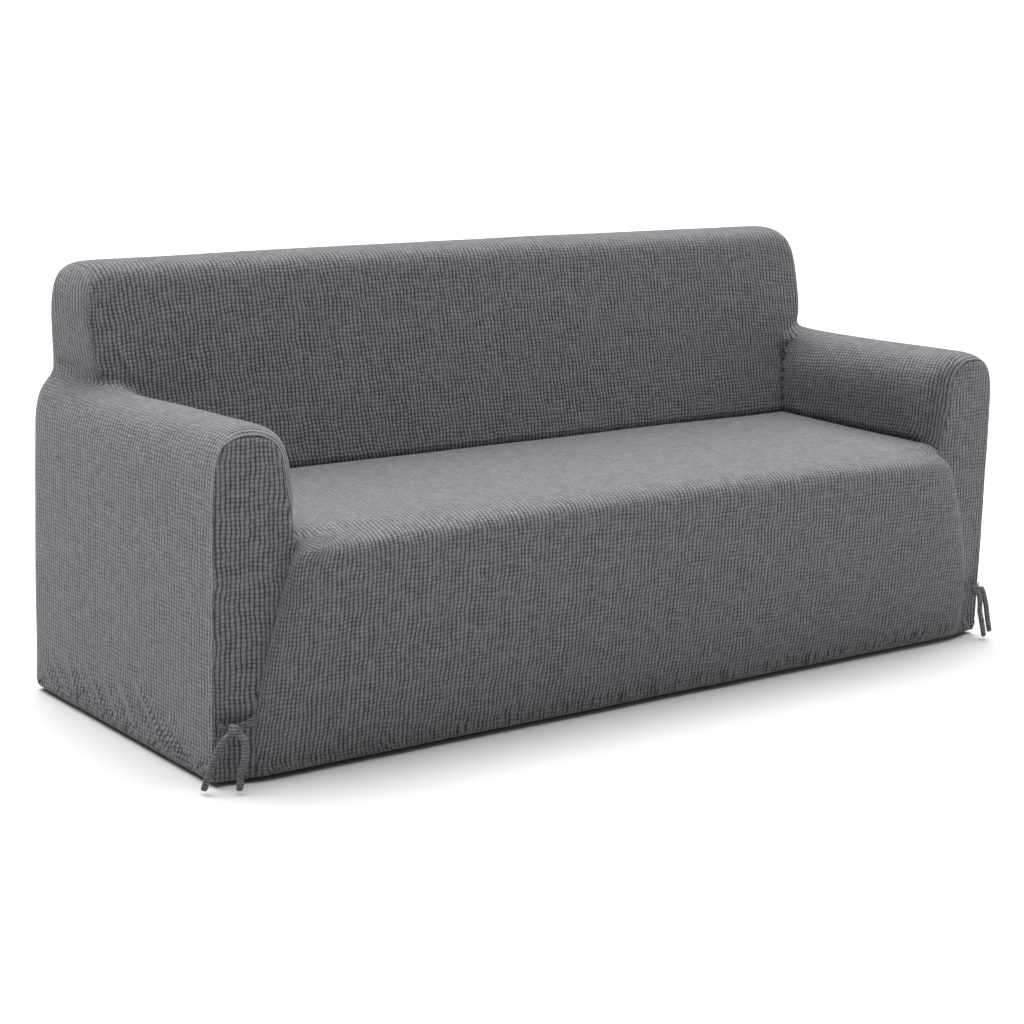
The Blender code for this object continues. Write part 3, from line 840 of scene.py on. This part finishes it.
def add_band(name, seam, knot, wide, narrow, material):
    """A flat band from the seam to the knot, which sags a little and gathers as it goes in."""
    run = knot - seam
    up = Vector((0, 0, 1))
    out = run.cross(up).normalized()
    out = -out if out.y > 0 else out
    across = out.cross(run).normalized()
    bm = bmesh.new()
    grid = bmesh.ops.create_grid(bm, x_segments=18, y_segments=12, size=0.5)["verts"]
    for vert in grid:
        share, side = vert.co.x + 0.5, vert.co.y
        width = wide + (narrow - wide) * share**1.2
        pleat = 0.0016 * share * math.cos(side * 5 * math.pi)
        sag = -0.003 * math.sin(math.pi * share)
        vert.co = seam + run * share + across * side * width + out * (pleat + 0.001) + up * sag
    bm.normal_update()
    if sum(face.normal.dot(out) for face in bm.faces) < 0:
        bmesh.ops.reverse_faces(bm, faces=bm.faces[:])
    crumple(bm, 0.011, 0.0006)
    piece = add_mesh_piece("soft_" + name, bm, material)
    thicken(piece, BAND_CLOTH)
    smooth = piece.modifiers.new("Subdivision", "SUBSURF")
    smooth.levels = smooth.render_levels = 1
    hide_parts(name)


def add_knot(name, centre, material):
    """A drawn-up knot: its turns stand up round it as slanting ridges."""
    bm = bmesh.new()
    bmesh.ops.create_uvsphere(bm, u_segments=36, v_segments=24, radius=1.0)
    for vert in bm.verts:
        angle = math.atan2(vert.co.z, vert.co.x)
        slant = math.cos(2 * angle + 2.4 * vert.co.y + 0.6)
        vert.co *= 1 + 0.16 * slant * math.hypot(vert.co.x, vert.co.z)
    bmesh.ops.scale(bm, vec=KNOT_RADII, verts=bm.verts[:])
    bmesh.ops.translate(bm, vec=centre + KNOT_SETTLE, verts=bm.verts[:])
    crumple(bm, 0.007, 0.0012)
    add_tie_piece(name, bm, material)


def build_ties(material):
    """A knotted tie across the foot of each arm's front."""
    for (end, tail), points in TAILS.items():
        sign = -1 if end == "left" else 1
        route = [tie_point(point, sign) for point in points]
        knot = tie_point(KNOT_AT[end], sign) + KNOT_SETTLE
        route.insert(0, route[0].lerp(knot, TAIL_TUCKED_IN))
        add_tail(f"tie_{end}_{tail}", route, material)
    for end, sign in (("left", -1), ("right", 1)):
        knot = tie_point(KNOT_AT[end], sign)
        add_knot(f"tie_{end}_knot", knot, material)
        for band, facts in BANDS.items():
            seam = tie_point(facts["seam"], sign)
            add_band(f"tie_{end}_{band}", seam, knot, facts["wide"], facts["narrow"], material)


# ---- materials ----


class Nodes:
    """Short calls that add nodes to a material."""

    def __init__(self, material):
        self.tree = material.node_tree

    def add(self, kind, **settings):
        node = self.tree.nodes.new(kind)
        for name, value in settings.items():
            setattr(node, name, value)
        return node

    def link(self, source, target):
        self.tree.links.new(source, target)

    def set(self, socket, value):
        if isinstance(value, bpy.types.NodeSocket):
            self.link(value, socket)
        else:
            socket.default_value = value

    def math(self, operation, a, b=0.0, c=0.0):
        node = self.add("ShaderNodeMath", operation=operation)
        for socket, value in zip(node.inputs, (a, b, c), strict=True):
            self.set(socket, value)
        return node.outputs[0]

    def smooth(self, value, low, high):
        node = self.add("ShaderNodeMapRange", interpolation_type="SMOOTHSTEP")
        self.set(node.inputs["Value"], value)
        node.inputs["From Min"].default_value = low
        node.inputs["From Max"].default_value = high
        return node.outputs["Result"]

    def noise(self, vector, scale, detail=2.0, roughness=0.5):
        node = self.add("ShaderNodeTexNoise")
        self.link(vector, node.inputs["Vector"])
        node.inputs["Scale"].default_value = scale
        node.inputs["Detail"].default_value = detail
        node.inputs["Roughness"].default_value = roughness
        return node.outputs["Fac"]

    def combine(self, x, y):
        node = self.add("ShaderNodeCombineXYZ")
        self.set(node.inputs["X"], x)
        self.set(node.inputs["Y"], y)
        return node.outputs["Vector"]

    def ramp(self, value, dark, light):
        node = self.add("ShaderNodeValToRGB")
        self.link(value, node.inputs["Fac"])
        node.color_ramp.elements[0].color = dark
        node.color_ramp.elements[1].color = light
        return node.outputs["Color"]


def matt_cloth(name, sheen):
    """A rough cloth shader with a little fuzz."""
    material = bpy.data.materials.new(name)
    material.use_nodes = True
    shader = material.node_tree.nodes["Principled BSDF"]
    shader.inputs["Roughness"].default_value = FABRIC_ROUGHNESS
    shader.inputs["Specular IOR Level"].default_value = 0.18
    shader.inputs["Sheen Weight"].default_value = sheen
    shader.inputs["Sheen Roughness"].default_value = 0.45
    shader.inputs["Sheen Tint"].default_value = (0.86, 0.84, 0.88, 1.0)
    return material, shader


def stretch_fabric():
    """The stretch knit: rows of small raised squares in a mottled yarn, with painted shade that darkens the grooves
    between the squares and painted light on their tops.
    """
    material, shader = matt_cloth("stretch_fabric_knit", 0.26)
    nodes = Nodes(material)
    cloth = nodes.add("ShaderNodeUVMap", uv_map="cloth").outputs["UV"]
    split = nodes.add("ShaderNodeSeparateXYZ")
    nodes.link(cloth, split.inputs[0])
    drift_u = nodes.math("MULTIPLY", nodes.math("SUBTRACT", nodes.noise(cloth, 16.0, 2.5, 0.5), 0.5), 0.015)
    drift_v = nodes.math("MULTIPLY", nodes.math("SUBTRACT", nodes.noise(cloth, 19.0, 2.5, 0.5), 0.5), 0.015)
    u = nodes.math("ADD", split.outputs["X"], drift_u)
    v = nodes.math("ADD", split.outputs["Y"], drift_v)
    across = nodes.math("DIVIDE", u, SQUARE_WIDTH)
    up = nodes.math("DIVIDE", v, SQUARE_HEIGHT)
    wave_u = nodes.math("ABSOLUTE", nodes.math("SINE", nodes.math("MULTIPLY", across, math.pi)))
    wave_v = nodes.math("ABSOLUTE", nodes.math("SINE", nodes.math("MULTIPLY", up, math.pi)))
    ribs = nodes.smooth(wave_u, 0.10, 1.0)
    courses = nodes.math("MULTIPLY_ADD", nodes.smooth(wave_v, 0.10, 1.0), 0.60, 0.40)
    square = nodes.math("MULTIPLY", ribs, courses)
    cell = nodes.combine(nodes.math("FLOOR", across), nodes.math("FLOOR", up))
    chance = nodes.add("ShaderNodeTexWhiteNoise", noise_dimensions="2D")
    nodes.link(cell, chance.inputs["Vector"])
    yarn = nodes.noise(nodes.combine(nodes.math("MULTIPLY", u, 0.35), v), 900.0, 3.0, 0.6)
    patches = nodes.noise(cloth, 38.0, 3.0, 0.6)
    stitch = nodes.math("SINE", nodes.math("MULTIPLY", across, 2 * math.pi * STITCHES_PER_SQUARE))
    course = nodes.math("SINE", nodes.math("MULTIPLY", up, 2 * math.pi * STITCHES_PER_SQUARE))
    knit = nodes.math("MULTIPLY", stitch, course)
    # Painted shade and light: the colour follows the raised squares' relief, darker in the grooves and lighter on
    # the tops. The chance, yarn and patches terms add the yarn's own random mottle.
    tone = nodes.math("MULTIPLY", square, 0.62)
    tone = nodes.math("ADD", tone, nodes.math("MULTIPLY", chance.outputs["Value"], 0.20))
    tone = nodes.math("ADD", tone, nodes.math("MULTIPLY", yarn, 0.26))
    tone = nodes.math("ADD", tone, nodes.math("MULTIPLY", patches, 0.24))
    nodes.link(nodes.ramp(nodes.smooth(tone, 0.12, 1.02), YARN_DARK_AND_GROOVE_SHADE, YARN_LIGHT_AND_SQUARE_TOP_LIGHT), shader.inputs["Base Color"])
    height = nodes.math("ADD", square, nodes.math("MULTIPLY", knit, 0.07))
    height = nodes.math("ADD", height, nodes.math("MULTIPLY", yarn, 0.22))
    bump = nodes.add("ShaderNodeBump")
    bump.inputs["Distance"].default_value = KNIT_RELIEF
    bump.inputs["Strength"].default_value = 0.9
    nodes.link(height, bump.inputs["Height"])
    nodes.link(bump.outputs["Normal"], shader.inputs["Normal"])
    return material


def tie_fabric():
    """The ties' finer, flatter knit."""
    material, shader = matt_cloth("tie_fabric_knit", 0.16)
    nodes = Nodes(material)
    place = nodes.add("ShaderNodeTexCoord").outputs["Object"]
    yarn = nodes.noise(place, 900.0, 3.0, 0.6)
    patches = nodes.noise(place, 120.0, 2.0, 0.5)
    split = nodes.add("ShaderNodeSeparateXYZ")
    nodes.link(place, split.inputs[0])
    rung = nodes.math("SINE", nodes.math("MULTIPLY", split.outputs["Z"], 2 * math.pi / TIE_RUNG))
    tone = nodes.math("ADD", nodes.math("MULTIPLY", yarn, 0.45), nodes.math("MULTIPLY", patches, 0.35))
    tone = nodes.math("MULTIPLY_ADD", rung, 0.10, nodes.math("ADD", tone, 0.10))
    nodes.link(nodes.ramp(nodes.smooth(tone, 0.25, 0.75), TIE_DARK, TIE_LIGHT), shader.inputs["Base Color"])
    bump = nodes.add("ShaderNodeBump")
    bump.inputs["Distance"].default_value = 0.0006
    bump.inputs["Strength"].default_value = 0.8
    nodes.link(yarn, bump.inputs["Height"])
    nodes.link(bump.outputs["Normal"], shader.inputs["Normal"])
    return material


# ---- studio ----


def place_camera():
    """The camera, from its target, distance, turn, tilt and roll."""
    yaw, pitch = CAMERA_YAW, CAMERA_PITCH
    back = Vector((-math.sin(yaw) * math.cos(pitch), -math.cos(yaw) * math.cos(pitch), math.sin(pitch)))
    right = (-back).cross(Vector((0, 0, 1))).normalized()
    up = right.cross(-back)
    c, s = math.cos(CAMERA_ROLL), math.sin(CAMERA_ROLL)
    right, up = right * c + up * s, up * c - right * s
    turn = Matrix((right, up, back)).transposed().to_4x4()
    data = bpy.data.cameras.new("camera")
    data.lens = CAMERA_LENS
    data.sensor_width = 36.0
    camera = bpy.data.objects.new("camera", data)
    camera.matrix_world = Matrix.Translation(CAMERA_TARGET + back * CAMERA_DISTANCE) @ turn
    bpy.context.scene.collection.objects.link(camera)
    bpy.context.scene.camera = camera


def add_floor():
    """A plain pale floor."""
    bm = bmesh.new()
    bmesh.ops.create_grid(bm, x_segments=1, y_segments=1, size=400.0)
    mesh = bpy.data.meshes.new("floor")
    bm.to_mesh(mesh)
    bm.free()
    material = bpy.data.materials.new("pale_floor")
    material.use_nodes = True
    shader = material.node_tree.nodes["Principled BSDF"]
    shader.inputs["Base Color"].default_value = FLOOR_COLOUR
    shader.inputs["Roughness"].default_value = 0.9
    mesh.materials.append(material)
    floor = bpy.data.objects.new("floor", mesh)
    bpy.context.scene.collection.objects.link(floor)


def add_sun(name, slope, angle, strength):
    """A wide soft sun, which lights near and far floor alike. Its light comes from (slope, 1) above."""
    data = bpy.data.lights.new(name, "SUN")
    data.angle = angle
    data.energy = strength
    lamp = bpy.data.objects.new(name, data)
    lamp.rotation_euler = Vector((*slope, SUN_HEIGHTS[name])).to_track_quat("Z", "Y").to_euler()
    bpy.context.scene.collection.objects.link(lamp)


def add_fill():
    """A soft lamp low at the right, so that the cover brightens a little towards that end."""
    data = bpy.data.lights.new("fill", "AREA")
    data.size = FILL_SIZE
    data.energy = FILL_POWER
    lamp = bpy.data.objects.new("fill", data)
    lamp.location = FILL_PLACE
    lamp.rotation_euler = (FILL_PLACE - FILL_AIM).to_track_quat("Z", "Y").to_euler()
    bpy.context.scene.collection.objects.link(lamp)


def light_studio():
    """Broad light from above, some from the left rear, and a white surround that fills in only a little."""
    world = bpy.data.worlds.new("studio")
    world.use_nodes = True
    nodes = Nodes(world)
    seen = nodes.add("ShaderNodeLightPath").outputs["Is Camera Ray"]
    strength = nodes.math("MULTIPLY_ADD", seen, 1.0 - SKY_STRENGTH, SKY_STRENGTH)
    background = world.node_tree.nodes["Background"]
    background.inputs["Color"].default_value = (1.0, 1.0, 1.0, 1.0)
    nodes.link(strength, background.inputs["Strength"])
    bpy.context.scene.world = world
    bpy.context.scene.view_settings.view_transform = "Standard"
    for name, facts in SUNS.items():
        add_sun(name, *facts)
    add_fill()


def main():
    place_camera()
    build_ties(tie_fabric())
    cover = detailed_cover()
    build_panels(cover, stretch_fabric())
    bpy.data.meshes.remove(cover)
    add_floor()
    light_studio()


main()
